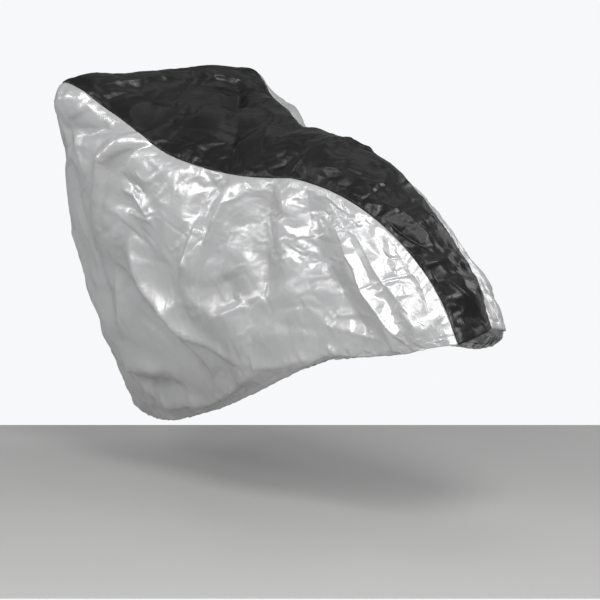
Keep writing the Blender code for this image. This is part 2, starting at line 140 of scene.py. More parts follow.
# A fold: its rise out of the cloth (into it when negative) and half width in tenths of a millimetre, then its
# route in thousandths along and across.
folds = (
    # lever and grip under the cloth
    (150, 300, ((560, 392), (542, 375), (523, 347), (508, 327), (502, 300), (485, 255))),
    (-180, 500, ((545, 330), (530, 290), (512, 250))),
    # corner at the bar end
    (120, 300, ((500, 398), (478, 380), (455, 360))),
    (-130, 360, ((465, 342), (480, 342), (505, 362), (530, 388))),
    # pleat under the seam
    (170, 340, ((672, 398), (655, 350), (645, 300))),
    (-200, 360, ((652, 395), (632, 350), (622, 295))),
    # under the saddle
    (-200, 400, ((712, 395), (700, 335), (705, 270), (712, 215))),
    (150, 400, ((738, 390), (730, 330), (734, 250))),
    (-170, 360, ((760, 395), (770, 320), (778, 260))),
    # rear flank
    (200, 300, ((795, 350), (825, 295), (855, 250), (915, 185), (965, 120))),
    (-150, 340, ((776, 320), (810, 250), (848, 195), (895, 140))),
    (140, 260, ((822, 350), (877, 292), (935, 262), (985, 200))),
    # long diagonal fold
    (340, 440, ((510, 235), (514, 195), (520, 165), (535, 150), (556, 112), (580, 75))),
    (-400, 580, ((478, 205), (484, 165), (498, 125), (522, 92), (548, 56))),
    # puckers at the front wheel
    (200, 340, ((395, 78), (440, 74), (486, 64))),
    (-180, 340, ((395, 52), (445, 48), (500, 43))),
    (180, 300, ((380, 28), (455, 26), (520, 18))),
    # middle of the flank
    (220, 900, ((595, 235), (625, 232))),
    (-180, 600, ((655, 250), (668, 200))),
    # belly
    (150, 360, ((580, 162), (612, 178), (645, 176), (682, 205))),
    (140, 340, ((660, 135), (700, 160), (740, 165))),
    # front edge
    (-260, 500, ((470, 330), (462, 260), (452, 180), (440, 110))),
    (180, 450, ((430, 300), (415, 210), (400, 130))),
    # strip
    (90, 340, ((488, 425), (490, 480), (488, 545))),
    (-300, 600, ((500, 575), (545, 545), (575, 500))),
    (140, 380, ((535, 590), (570, 570), (620, 560))),
    (-170, 360, ((605, 500), (632, 450), (655, 408))),
    (120, 360, ((640, 510), (668, 465), (690, 430))),
    (-160, 340, ((725, 480), (715, 445), (700, 408))),
    (110, 340, ((735, 410), (750, 450), (752, 500))),
    (100, 260, ((915, 440), (950, 490), (982, 545))),
    (-100, 260, ((890, 490), (922, 530), (950, 585))),
    # right side
    (220, 550, ((440, 640), (430, 740), (420, 860))),
    (-260, 600, ((490, 660), (490, 760), (480, 880))),
    (260, 700, ((560, 680), (590, 790), (600, 890))),
    (-240, 550, ((650, 660), (670, 760), (680, 880))),
    (180, 450, ((740, 660), (770, 750), (800, 860))),
    (-120, 340, ((840, 680), (880, 740), (920, 820))),
    # front
    (-200, 450, ((400, 430), (280, 425), (160, 430))),
    (180, 500, ((410, 500), (290, 490), (150, 480))),
    (-200, 450, ((400, 580), (280, 570), (160, 560))),
)

# A crease also has a lean to one side and a sharpness: 1 is crisp, 2 round, 5 a flat-topped tube.
flankCreases = (
    # brake lever
    (120, 230, 0, 6, ((574, 420), (548, 378), (526, 352), (512, 334), (504, 314))),
    (120, 180, 0, 5, ((518, 340), (508, 322), (502, 300), (496, 278), (482, 238), (474, 208))),
    (-55, 60, 0.3, 1, ((572, 398), (556, 374), (532, 334), (520, 318))),
    # bar end
    (65, 110, 0.4, 1, ((474, 350), (492, 372), (504, 402))),
    (55, 90, 0.3, 1, ((474, 388), (488, 396), (498, 400))),
    (-60, 160, 0.2, 1.3, ((474, 330), (498, 348), (508, 362), (520, 378))),
    (-30, 80, 0, 1, ((508, 362), (530, 382))),
    # front edge
    (45, 100, 0.5, 1, ((472, 368), (474, 348), (478, 328), (484, 304), (490, 288))),
    (40, 80, 0.3, 1, ((490, 288), (478, 272), (458, 262))),
    (60, 180, 0.5, 1.2, ((458, 262), (450, 236), (450, 204), (442, 174))),
    # knot under the lever
    (60, 70, 0, 1, ((474, 230), (484, 222))),
    (-70, 80, 0.2, 1, ((476, 216), (492, 228), (506, 250))),
    (60, 60, 0, 1, ((490, 218), (504, 228))),
    (-55, 60, 0, 1, ((478, 206), (492, 204), (506, 216))),
    # pleats under the lever
    (95, 100, 0.5, 1, ((520, 294), (538, 290), (554, 272))),
    (80, 90, -0.5, 1, ((514, 268), (530, 266), (554, 272), (570, 284))),
    (-55, 90, 0.3, 1, ((522, 322), (536, 306), (544, 294))),
    (-65, 100, -0.3, 1, ((532, 330), (548, 314), (562, 306))),
    (30, 60, 0, 1, ((550, 338), (562, 326))),
    (-45, 120, 0.2, 1.2, ((508, 250), (522, 240), (542, 230))),
    # fine creases behind them
    (-28, 50, 0, 1, ((532, 252), (548, 246), (558, 240))),
    (-28, 50, 0, 1, ((534, 242), (550, 226))),
    (-40, 60, 0.4, 1, ((580, 292), (600, 282), (616, 280))),
    # pleat under the seam
    (-100, 160, -0.3, 1.1, ((660, 392), (652, 372), (640, 342), (632, 304))),
    (110, 80, 0.5, 1, ((664, 378), (656, 344), (649, 324), (641, 296), (634, 278))),
    (45, 80, -0.3, 1, ((684, 380), (673, 364), (656, 350))),
    # valleys and hooks under the saddle
    (-70, 160, 0.2, 1.3, ((716, 392), (706, 360), (708, 334), (718, 294))),
    (-50, 140, -0.2, 1.2, ((708, 300), (700, 262), (708, 222))),
    (-70, 140, 0.2, 1.2, ((754, 396), (756, 360), (758, 322))),
    (-35, 60, 0.3, 1, ((758, 322), (776, 332), (790, 352))),
    (-25, 50, 0, 1, ((726, 338), (736, 350))),
    # long diagonal fold
    (110, 140, 0.3, 1, ((488, 216), (478, 178), (466, 142), (448, 112), (420, 88))),
    (65, 80, 0.4, 1, ((480, 190), (490, 184), (498, 174))),
    (65, 80, 0.4, 1, ((466, 150), (480, 162), (492, 172))),
    (-130, 180, 0.2, 1, ((500, 196), (504, 164), (518, 138), (534, 108), (550, 82))),
    (-90, 140, 0.2, 1.1, ((480, 132), (492, 112), (506, 92))),
    (55, 60, 0.3, 1, ((492, 156), (510, 150))),
    (-55, 60, 0, 1, ((490, 164), (500, 146))),
    (-65, 60, 0.3, 1, ((524, 130), (542, 122))),
    (60, 60, 0.3, 1, ((526, 144), (544, 138))),
    # belly edge
    (120, 140, 0.5, 1, ((516, 206), (518, 172), (538, 150), (560, 122), (600, 110), (644, 101), (670, 98))),
    (90, 160, 0.4, 1.1, ((650, 100), (708, 96), (742, 106), (788, 106))),
    # pleat at the front wheel
    (120, 120, 0.6, 1, ((400, 72), (440, 69), (498, 64))),
    (75, 80, 0.2, 1, ((498, 64), (488, 46))),
    (-125, 130, 0.2, 1, ((400, 58), (436, 52), (484, 42))),
    (115, 120, -0.4, 1, ((376, 54), (422, 42), (438, 24))),
    # lower edge and underside
    (115, 140, 0.3, 1, ((400, 44), (436, 24), (512, 14), (604, 26), (656, 52), (714, 90))),
    (-45, 80, 0.2, 1, ((486, 42), (534, 58), (588, 72))),
    (40, 70, 0.4, 1, ((578, 70), (558, 42), (514, 18))),
    (-40, 70, 0.2, 1, ((566, 46), (600, 64), (642, 86))),
    (35, 60, 0.3, 1, ((624, 38), (646, 60), (668, 80))),
    (-35, 60, 0, 1, ((596, 56), (620, 60), (644, 54))),
    (35, 60, 0, 1, ((646, 42), (630, 12))),
    # crescents on the belly
    (70, 80, 0.5, 1, ((582, 148), (604, 158), (620, 180))),
    (75, 80, 0.5, 1, ((622, 166), (656, 190), (682, 206), (686, 216))),
    (70, 80, 0.5, 1, ((666, 154), (684, 164), (690, 176))),
    # star under the saddle and the lines behind it
    (-38, 60, 0.3, 1, ((678, 262), (688, 248), (692, 230))),
    (-38, 60, 0.3, 1, ((702, 232), (712, 214), (714, 200))),
    (32, 60, 0.3, 1, ((664, 220), (680, 220), (694, 218))),
    (-32, 50, 0, 1, ((682, 206), (700, 224))),
    (28, 50, 0, 1, ((668, 262), (672, 252))),
    (-50, 130, 0.2, 1.3, ((716, 186), (754, 174), (790, 164))),
    (-22, 40, 0, 1, ((724, 206), (754, 214), (784, 206))),
    # ripples in the middle of the flank
    (35, 100, 0.3, 1.3, ((512, 202), (534, 206), (542, 204))),
    (55, 140, 0.2, 1.5, ((594, 226), (612, 240))),
    (-40, 120, 0.2, 1.4, ((596, 200), (614, 206), (630, 214))),
    (30, 80, 0.2, 1.2, ((564, 162), (604, 172))),
    # rear fold
    (100, 110, 0.6, 1,
     ((800, 342), (816, 318), (838, 288), (858, 252), (898, 212), (938, 172), (980, 126))),
    (65, 90, 0.4, 1, ((824, 352), (846, 326), (870, 298), (888, 282), (922, 272), (952, 256))),
    (-55, 100, 0, 1.1, ((816, 338), (838, 312), (862, 278))),
    (38, 60, 0.4, 1, ((876, 278), (898, 322), (914, 374))),
    (35, 60, 0, 1, ((858, 252), (878, 280))),
    (35, 60, 0.4, 1, ((890, 278), (914, 268), (942, 262))),
    (45, 80, 0.3, 1, ((822, 394), (824, 370), (834, 372))),
    (-35, 60, 0, 1, ((856, 360), (874, 344), (892, 376))),
    (35, 60, 0, 1, ((844, 382), (858, 394), (868, 388))),
    # swell over the rear hem
    (65, 110, 0.4, 1.1, ((812, 196), (832, 188), (898, 202))),
    (75, 120, 0.4, 1.1, ((792, 174), (836, 156), (932, 138))),
    (80, 120, 0.2, 1.1, ((804, 122), (824, 92), (844, 62))),
    # over the mudguard
    (-35, 90, 0.3, 1.1, ((810, 248), (838, 256), (862, 254))),
    (-22, 50, 0, 1, ((734, 214), (770, 212), (788, 202))),
)
stripCreases = (
    # on the bar and behind it
    (70, 150, 0.4, 1.2, ((488, 408), (494, 460), (494, 496), (500, 522))),
    (-45, 80, 0.2, 1, ((492, 456), (484, 478), (488, 544))),
    (55, 100, 0.4, 1, ((498, 458), (532, 446), (542, 460), (520, 492), (492, 528))),
    (-40, 70, 0, 1, ((532, 446), (512, 474))),
    # stem and the hollow behind it
    (80, 120, 0.4, 1, ((514, 518), (502, 548), (508, 562))),
    (-100, 190, 0, 1.2, ((606, 470), (562, 526), (530, 556))),
    (70, 110, 0.5, 1, ((606, 478), (590, 510), (562, 548))),
    (60, 100, 0.3, 1, ((562, 548), (592, 540), (634, 528))),
    # end of the lever, and small folds round it
    (60, 110, 0, 2, ((560, 400), (562, 428), (566, 440))),
    (35, 60, 0.3, 1, ((562, 436), (560, 450), (570, 460))),
    (-35, 60, 0.3, 1, ((574, 440), (564, 458))),
    (-55, 90, 0.3, 1, ((586, 426), (616, 422), (624, 410))),
    (35, 60, 0.2, 1, ((598, 452), (612, 442), (616, 450))),
    (32, 60, 0.2, 1, ((612, 408), (630, 414))),
    (35, 70, 0.2, 1, ((598, 414), (612, 426))),
    (45, 80, 0.2, 1, ((502, 410), (504, 438), (514, 452))),
    (-45, 80, 0.2, 1, ((574, 458), (558, 484))),
    (45, 80, 0.2, 1, ((544, 454), (548, 476), (538, 512))),
    # saddle
    (-55, 100, 0.3, 1, ((700, 408), (712, 442))),
    (42, 80, 0.4, 1, ((620, 480), (652, 428), (658, 404))),
    (-75, 110, 0.3, 1, ((706, 420), (722, 456))),
    (65, 100, 0.4, 1, ((728, 410), (734, 426), (738, 458))),
    (45, 80, 0.3, 1, ((754, 426), (780, 444), (794, 434))),
    # rack
    (-45, 80, 0, 1, ((792, 516), (802, 508), (810, 554))),
    # rear
    (-85, 100, 0.5, 1, ((846, 416), (878, 424), (906, 456), (918, 470))),
    (65, 120, 0.3, 1.1, ((840, 444), (868, 470), (902, 486))),
    (55, 100, 0.3, 1, ((852, 530), (872, 540), (880, 600))),
    (-40, 70, 0, 1, ((866, 486), (892, 494))),
    (65, 80, 0.4, 1, ((916, 406), (922, 478), (914, 558))),
    (45, 70, 0.2, 1, ((920, 562), (938, 514))),
    (45, 70, 0.2, 1, ((938, 514), (920, 490))),
    # tail
    (80, 90, 0.6, 1, ((928, 448), (950, 466), (972, 510), (986, 560))),
    (40, 60, 0.2, 1, ((930, 470), (940, 500), (954, 500))),
    (50, 80, 0.3, 1, ((960, 412), (974, 470), (972, 420))),
    # behind the saddle
    (48, 80, 0.2, 1, ((736, 482), (744, 508), (770, 502))),
    (-35, 60, 0, 1, ((780, 456), (778, 480))),
    (-45, 80, 0.2, 1, ((752, 468), (770, 480), (788, 488))),
    # small folds at rack and tail
    (45, 80, 0.2, 1, ((798, 452), (816, 476), (824, 498))),
    (-45, 80, 0.2, 1, ((796, 424), (804, 416), (832, 420))),
    (38, 70, 0.2, 1, ((824, 412), (838, 434))),
    (-38, 60, 0.2, 1, ((884, 408), (902, 424))),
    (45, 70, 0.2, 1, ((946, 534), (966, 564))),
    (45, 70, 0.2, 1, ((942, 608), (968, 604))),
)


def guideNet():
    net = np.array(list(sections.values())) / 1000
    hem, belly = net[:, 0], net[:, 1]
    drop = np.linalg.norm(belly - hem, axis=1)[:, None] / cover["tuckFullDrop"]
    tuck = (hem + belly) / 2 + np.array(cover["tuckSag"]) * np.clip(drop, 0, 1)
    return np.insert(net, 1, tuck, axis=1)


def knotsOf(points):
    steps = np.linalg.norm(np.diff(points, axis=0), axis=-1)
    steps = steps.mean(axis=1) if steps.ndim > 1 else steps
    return np.concatenate(([0.0], np.cumsum(steps))) / steps.sum()


def splineWeights(knots, places):  # how much each knot counts at each place, on a smooth curve through them
    count = len(knots)
    slopes = np.zeros((count, count))
    for k in range(1, count - 1):
        before, after = knots[k] - knots[k - 1], knots[k + 1] - knots[k]
        slopes[k, k - 1] = -after / (before * (before + after))
        slopes[k, k + 1] = before / (after * (before + after))
        slopes[k, k] = -slopes[k, k - 1] - slopes[k, k + 1]
    for end, near in ((0, 1), (count - 1, count - 2)):
        span = knots[near] - knots[end]
        slopes[end, end], slopes[end, near] = -1 / span, 1 / span
    left = np.clip(np.searchsorted(knots, places, side="right") - 1, 0, count - 2)
    span = knots[left + 1] - knots[left]
    t = (places - knots[left]) / span
    weights = ((t**3 - 2 * t**2 + t) * span)[:, None] * slopes[left]
    weights += ((t**3 - t**2) * span)[:, None] * slopes[left + 1]
    at = np.arange(len(places))
    weights[at, left] += 2 * t**3 - 3 * t**2 + 1
    weights[at, left + 1] += 3 * t**2 - 2 * t**3
    return weights


net = guideNet()
alongKnots = knotsOf(net[:, guideNames.index("crown")])
acrossKnots = knotsOf(np.swapaxes(net[cover["frameSections"]], 0, 1))
leftSeam, rightSeam = (acrossKnots[guideNames.index(name)] for name in ("leftSeam", "rightSeam"))


def drape(along, across):  # the unfolded cloth, in the row's frame
    alongWeights = splineWeights(alongKnots, np.ravel(along))
    acrossWeights = splineWeights(acrossKnots, np.ravel(across))
    part = np.einsum("pi,ijk->pjk", alongWeights, net)
    points = np.einsum("pj,pjk->pk", acrossWeights, part)
    return points.reshape(*np.shape(along), 3) - cover["origin"]


def unit(vectors):
    return vectors / np.linalg.norm(vectors, axis=-1, keepdims=True)


def outward(along, across, step=cover["normalStep"]):
    run = drape(np.clip(along + step, 0, 1), across) - drape(np.clip(along - step, 0, 1), across)
    climb = drape(along, np.clip(across + step, 0, 1)) - drape(along, np.clip(across - step, 0, 1))
    return unit(np.cross(run, climb))


def routeRise(points, rise, reach, lean, sharpness, route):  # what one fold adds to each point's height
    corners = np.arange(len(route))
    legs = np.linspace(0, corners[-1], corners[-1] * fold["legSteps"] + 1)
    along, across = (splineWeights(corners, legs) @ (np.array(route) / 1000)).T
    line = drape(along, across)
    steps = np.diff(line, axis=0)
    sideways = np.cross(outward(along, across)[:-1], unit(steps))
    wide = reach * (1 + abs(lean)) * fold["farthest"]
    heights = np.zeros(len(points))
    near = np.flatnonzero(((points > line.min(0) - wide) & (points < line.max(0) + wide)).all(axis=1))
    if len(near) == 0:
        return heights
    apart = points[near, None] - line[:-1]
    share = np.clip((apart * steps).sum(axis=2) / (steps**2).sum(axis=1), 0, 1)
    apart -= share[..., None] * steps
    distance = np.linalg.norm(apart, axis=2)
    closest = distance.argmin(axis=1)
    each = np.arange(len(near))
    nearest = distance[each, closest]
    side = (apart[each, closest] * sideways[closest]).sum(axis=1) / (nearest + fold["sideBlur"])
    place = (closest + share[each, closest]) / len(steps)
    fade = np.clip(np.minimum(place, 1 - place) / fold["taper"], fold["routeEnd"], 1)
    away = nearest / (reach * (1 + lean * side))
    heights[near] = rise * fade * np.exp(-(away**sharpness))
    return heights


def handFolds(points):
    heights = np.zeros(len(points))
    for rise, reach, route in folds:
        heights += routeRise(points, rise / 10000, reach / 10000, 0.0, fold["sharpness"], route)
    for rise, reach, lean, sharpness, route in flankCreases + stripCreases:
        heights += routeRise(points, rise / 10000, reach / 10000, lean, sharpness, route)
    return heights


def smallCreases(points, panel):  # families of short creases, nearly side by side, each lying in the cloth
    crumple = panel["crumple"]
    draw = np.random.default_rng(crumple["seed"])
    families = crumple["families"]
    along, across = draw.uniform(0, 1, families), draw.uniform(*panel["across"], families)
    heights = np.zeros(len(points))
    for centre, normal in zip(drape(along, across), outward(along, across)):
        first = unit(np.cross(normal, draw.normal(size=3)))
        second = np.cross(normal, first)
        members = draw.integers(*crumple["members"])
        spread = draw.uniform(*crumple["spread"])
        around = points - centre
        wide = spread * crumple["farthest"] + crumple["length"][1]
        near = np.flatnonzero(np.abs(around).max(axis=1) < wide)
        ahead, aside = around[near] @ first, around[near] @ second
        shallow = np.exp(-((around[near] @ normal) / crumple["sameSide"]) ** 2)
        for member in range(members):
            turn = draw.normal(0, crumple["turn"])
            length, reach, rise = (draw.uniform(*crumple[name]) for name in ("length", "reach", "rise"))
            shiftAhead, shiftAside = draw.normal(0, spread, 2)
            u = (ahead - shiftAhead) * math.cos(turn) + (aside - shiftAside) * math.sin(turn)
            v = (aside - shiftAside) * math.cos(turn) - (ahead - shiftAhead) * math.sin(turn)
            v += draw.uniform(-1, 1) * crumple["bend"] * u**2 / length
            ends = np.clip((length / 2 - np.abs(u)) / (length * crumple["taper"]), 0, 1)
            lean = draw.uniform(-crumple["lean"], crumple["lean"])
            sign = draw.choice((-1, 1))
            away = np.abs(v) / (reach * (1 + lean * np.sign(v)))
            heights[near] += sign * rise * shallow * ends * np.exp(-away)
    return heights


def facets(points, panel):  # a crumpled sheet's flat facets: crossing zigzags whose lines bend and fade
    draw = np.random.default_rng(panel["crumple"]["seed"] + 100)
    heights = np.zeros(len(points))
    for pitch, height in panel["crumple"]["facets"]:
        across = points @ unit(draw.normal(size=3)) / pitch
        for bend in facetBend["bends"]:
            bendWay = unit(draw.normal(size=3)) * draw.uniform(*facetBend["scale"])
            across += bend * np.sin(points @ bendWay + draw.uniform(0, facetBend["phase"]))
        fadeWay = unit(draw.normal(size=3)) * facetBend["fadeScale"]
        shown = 0.5 + 0.5 * np.sin(points @ fadeWay + draw.uniform(0, facetBend["phase"]))
        heights += height * shown * (4 * np.abs(across - np.floor(across) - 0.5) - 1)
    return heights


def waves(places, pitches, seed):  # an uneven wave of about unit height, for gathers and puckers
    phases = np.random.default_rng(seed).uniform(0, 2 * math.pi, len(pitches))
    total = sum(np.sin(2 * math.pi * places / pitch + phase) for pitch, phase in zip(pitches, phases))
    return total / math.sqrt(len(pitches))


facetBend = {"bends": (0.28, 0.16), "scale": (9, 22), "fadeScale": 17, "phase": 6.3}
silverCrumple = {
    "families": 150,
    "members": (3, 8),
    "spread": (0.010, 0.040),
    "farthest": 2.5,
    "rise": (0.0006, 0.0030),
    "reach": (0.0035, 0.0075),
    "length": (0.015, 0.10),
    "turn": 0.35,
    "bend": 0.6,
    "taper": 0.4,
    "lean": 0.6,
    "sameSide": 0.06,
    "facets": (  # pitch and height
        (0.21, 0.0034), (0.17, 0.0028), (0.13, 0.0020), (0.11, 0.0018), (0.08, 0.0010), (0.065, 0.0008),
    ),
}
blackCrumple = silverCrumple | {
    "spread": (0.010, 0.035),
    "rise": (0.0005, 0.0024),
    "reach": (0.0040, 0.0095),
    "length": (0.030, 0.13),
    "facets": ((0.19, 0.0040), (0.15, 0.0036), (0.12, 0.0030), (0.10, 0.0022), (0.075, 0.0012)),
}
leftPanel = {
    "name": "silver_panel_left",
    "stitches": "left_hem_stitches",
    "node": "panel_left",
    "slot": "silver_cloth",
    "across": (0.0, leftSeam),
    "columns": 104,
    "columnDensity": ((0.0, 0.9), (0.12, 0.7), (0.50, 1.0), (0.65, 1.7), (1.0, 1.7)),
    "calm": 0.15,
    "hemSide": "low",
    "crumple": dict(silverCrumple, seed=11),
    "flat": (1.10, 2.80),
    "flatArea": 1.30,
}
centrePanel = {
    "name": "black_panel_centre",
    "stitches": "centre_seam_stitches",
    "node": "panel_centre",
    "slot": "black_cloth",
    "across": (leftSeam, rightSeam),
    "columns": 70,
    "columnDensity": ((0.0, 1.3), (1.0, 1.0)),
    "calm": 0.75,
    "hemSide": None,
    "crumple": dict(blackCrumple, seed=23),
    "flat": (0.56, 2.80),
    "flatArea": 0.96,
}
rightPanel = {
    "name": "silver_panel_right",
    "stitches": "right_hem_stitches",
    "node": "panel_right",
    "slot": "silver_cloth",
    "across": (rightSeam, 1.0),
    "columns": 76,
    "columnDensity": ((0.0, 1.0), (1.0, 1.0)),
    "calm": 0.25,
    "hemSide": "high",
    "crumple": dict(silverCrumple, seed=37),
    "flat": (1.00, 2.60),
    "flatArea": 1.15,
}
edges = {
    "gatherHeight": 0.0016,  # the elastic draws the hem into gathers
    "gatherDepth": 0.030,
    "gatherPitches": (0.047, 0.071, 0.113, 0.190),
    "puckerHeight": 0.0006,  # the seam's thread puckers both panels
    "puckerDepth": 0.014,
    "puckerPitches": (0.017, 0.029, 0.047),
    "seamGroove": 0.0016,
    "seamGrooveWidth": 0.0030,
    "bandHeight": 0.0006,
    "bandStitch": 0.0215,
    "stitchGroove": 0.0007,
    "stitchGrooveWidth": 0.0022,
    "calmBesideSeam": 0.018,
    "calmBesideHem": 0.050,
    "bandFade": (0.004, 0.003),  # where the band's thickness ends past its stitching, and over what width
    "puckerSeed": 5,
    "gatherSeed": 9,
}

settling = {
    "frames": 12,
    "hold": 0.03,
    "heldRows": 3,
    "cloth": {
        "quality": 4,
        "time_scale": 2.0,
        "mass": 0.10,
        "tension_stiffness": 30,
        "compression_stiffness": 30,
        "shear_stiffness": 15,
        "bending_stiffness": 0.02,
        "tension_damping": 3,
        "compression_damping": 3,
        "shear_damping": 3,
        "air_damping": 1,
        "pin_stiffness": 1.0,
        "vertex_group_mass": "held",
        "vertex_group_shrink": "lively",
        "shrink_min": -0.012,
        "shrink_max": -0.065,
    },
}
livelySpots = {  # place in thousandths, half width, liveliness
    "knot under the lever": ((492, 215), 0.11, 1.0),
    "front fold": ((485, 140), 0.14, 0.8),
    "pleats under the lever": ((540, 290), 0.09, 0.8),
    "bar end": ((485, 375), 0.08, 0.7),
    "seam pleat": ((645, 330), 0.10, 0.6),
    "star under the saddle": ((690, 220), 0.12, 0.8),
    "belly": ((620, 165), 0.13, 0.8),
    "rear flank": ((870, 330), 0.16, 1.0),
    "rear hem swell": ((830, 130), 0.10, 0.8),
    "underside": ((560, 45), 0.14, 0.7),
    "front wheel": ((300, 150), 0.25, 0.6),
    "strip at the bar": ((520, 500), 0.20, 0.8),
    "strip at the tail": ((920, 500), 0.25, 1.0),
    "right bar end": ((480, 700), 0.15, 0.9),
    "right pedal": ((600, 850), 0.20, 0.7),
    "right rear flank": ((850, 700), 0.20, 0.9),
}


def crownLength():
    return np.linalg.norm(np.diff(net[:, guideNames.index("crown")], axis=0), axis=1).sum()


def rowsAlong():
    marks = np.array(cover["hemMarks"]) / crownLength()
    fine = np.linspace(marks[-1], 1 - marks[-1], cover["samples"]["along"])
    dense = np.cumsum(np.interp(fine, *zip(*cover["rowDensity"])))
    middle = np.interp(np.linspace(dense[0], dense[-1], cover["rows"] + 1), dense, fine)
    return np.concatenate((marks[:-1], middle, (1 - marks[:-1])[::-1]))


def placesAcross(along, panel):  # columns between the narrow ones beside the hem and the seams
    low, high = panel["across"]
    lowMarks, highMarks = (
        np.array(cover["hemMarks" if panel["hemSide"] == side else "seamMarks"]) for side in ("low", "high")
    )
    fine = np.linspace(low, high, cover["samples"]["across"])
    lines = drape(*np.meshgrid(along, fine, indexing="ij"))
    runs = np.cumsum(np.linalg.norm(np.diff(lines, axis=1), axis=2), axis=1)
    runs = np.concatenate((np.zeros((len(along), 1)), runs), axis=1)
    share = np.linspace(0, 1, cover["samples"]["share"])
    dense = np.cumsum(np.interp(share, *zip(*panel["columnDensity"])))
    spread = np.interp(np.linspace(dense[0], dense[-1], panel["columns"] + 1), dense, share)
    places = []
    for run in runs:
        squeeze = min(1, cover["marksShare"] * run[-1] / (lowMarks[-1] + highMarks[-1]))
        lowPart, highPart = lowMarks * squeeze, run[-1] - highMarks[::-1] * squeeze
        middle = lowPart[-1] + (highPart[0] - lowPart[-1]) * spread
        places.append(np.interp(np.concatenate((lowPart[:-1], middle, highPart[1:])), run, fine))
    return np.array(places)


def distances(points, axis):  # running length along one direction of a grid of points
    steps = np.linalg.norm(np.diff(points, axis=axis), axis=2)
    start = np.zeros_like(np.take(steps, [0], axis=axis))
    return np.concatenate((start, np.cumsum(steps, axis=axis)), axis=axis)


def shapePanel(panel):
    along = rowsAlong()
    across = placesAcross(along, panel)
    along = np.repeat(along[:, None], across.shape[1], axis=1)
    flat, normals = drape(along, across), outward(along, across)
    runAcross, runAlong = distances(flat, 1), distances(flat, 0)
    fromLow, fromHigh = runAcross, runAcross[:, -1:] - runAcross
    fromFront, fromTail = runAlong, runAlong[-1:] - runAlong
    points = flat.reshape(-1, 3)

    heights = handFolds(points).reshape(along.shape)
    crumples = (smallCreases(points, panel) + facets(points, panel)).reshape(along.shape)
    fromEnd = np.minimum(fromFront, fromTail)
    sides = {"low": fromLow, "high": fromHigh}
    fromSide = sides.pop(panel["hemSide"], np.full(along.shape, np.inf))
    fromHem = np.minimum(fromEnd, fromSide)
    fromSeam = np.minimum.reduce(list(sides.values()))  # a long edge that isn't a hem is a seam
    seamCalm = np.clip(fromSeam / edges["calmBesideSeam"], 0, 1)
    heights += crumples * seamCalm * np.clip(fromHem / edges["calmBesideHem"], 0, 1)
    place = along * crownLength()
    pucker = waves(place, edges["puckerPitches"], edges["puckerSeed"])
    heights += edges["puckerHeight"] * pucker * np.exp(-fromSeam / edges["puckerDepth"])
    heights -= edges["seamGroove"] * np.exp(-((fromSeam / edges["seamGrooveWidth"]) ** 2))

    alongEdge = np.where(fromSide < fromEnd, place, across * cover["endWidth"])
    gather = waves(alongEdge, edges["gatherPitches"], edges["gatherSeed"])
    heights += edges["gatherHeight"] * gather * np.exp(-fromHem / edges["gatherDepth"])
    heights += edges["bandHeight"] * (fromHem < edges["bandStitch"])
    fromStitch = (fromHem - edges["bandStitch"]) / edges["stitchGrooveWidth"]
    heights -= edges["stitchGroove"] * np.exp(-(fromStitch**2))

    panel["points"] = flat + normals * heights[..., None]
    bandEnd, bandFade = edges["bandFade"]
    panel["hemWeight"] = np.clip((edges["bandStitch"] + bandEnd - fromHem) / bandFade, 0, 1)
    panel["cloth"] = np.stack((runAlong, runAcross), axis=-1)
    return panel


def weightGroup(piece, name, weights):
    group = piece.vertex_groups.new(name=name)
    rounded = np.round(weights.ravel(), 2)
    for weight in np.unique(rounded[rounded > 0]):
        group.add(np.flatnonzero(rounded == weight).tolist(), float(weight), "REPLACE")
    return group


def panelMesh(panel):
    rows, columns = panel["points"].shape[:2]
    index = np.arange(rows * columns).reshape(rows, columns)
    corners = np.stack((index[:-1, :-1], index[1:, :-1], index[1:, 1:], index[:-1, 1:]), axis=-1)
    corners = corners.reshape(-1, 4)
    mesh = bpy.data.meshes.new(panel["name"])
    mesh.from_pydata(panel["points"].reshape(-1, 3).tolist(), [], corners.tolist())
    mesh.shade_smooth()
    layer = mesh.uv_layers.new(name="cloth")
    layer.data.foreach_set("uv", panel["cloth"].reshape(-1, 2)[corners.ravel()].ravel())
    return newObject(panel["name"], mesh)


def liveliness(panel):  # from calm cloth at 0 to the most crumpled at 1
    points = panel["points"].reshape(-1, 3)
    lively = np.full(len(points), panel["calm"])
    for (along, across), reach, strength in livelySpots.values():
        centre = drape([along / 1000], [across / 1000])
        lively = np.maximum(lively, strength * np.exp(-((points - centre) ** 2).sum(axis=1) / reach**2))
    return lively


def settle(piece, panel):  # a little more cloth than room, held at its edges, buckles into crisp folds
    held = np.full(panel["points"].shape[:2], settling["hold"])
    rows = settling["heldRows"]
    held[:rows] = held[-rows:] = held[:, :rows] = held[:, -rows:] = 1
    groups = [weightGroup(piece, "held", held), weightGroup(piece, "lively", liveliness(panel))]
    buckling = piece.modifiers.new("settling", "CLOTH")
    for name, value in settling["cloth"].items():
        setattr(buckling.settings, name, value)
    buckling.settings.effector_weights.gravity = 0
    buckling.collision_settings.use_collision = False
    buckling.point_cache.frame_end = settling["frames"]
    for step in range(1, settling["frames"] + 1):
        bpy.context.scene.frame_set(step)
    settled = piece.evaluated_get(bpy.context.evaluated_depsgraph_get()).data
    places = np.empty(held.size * 3, np.float32)
    settled.vertices.foreach_get("co", places)
    piece.modifiers.clear()
    for group in groups:
        piece.vertex_groups.remove(group)
    piece.data.vertices.foreach_set("co", places)
    piece.data.update()
    bpy.context.scene.frame_set(1)
    panel["points"] = places.reshape(panel["points"].shape).astype(float)


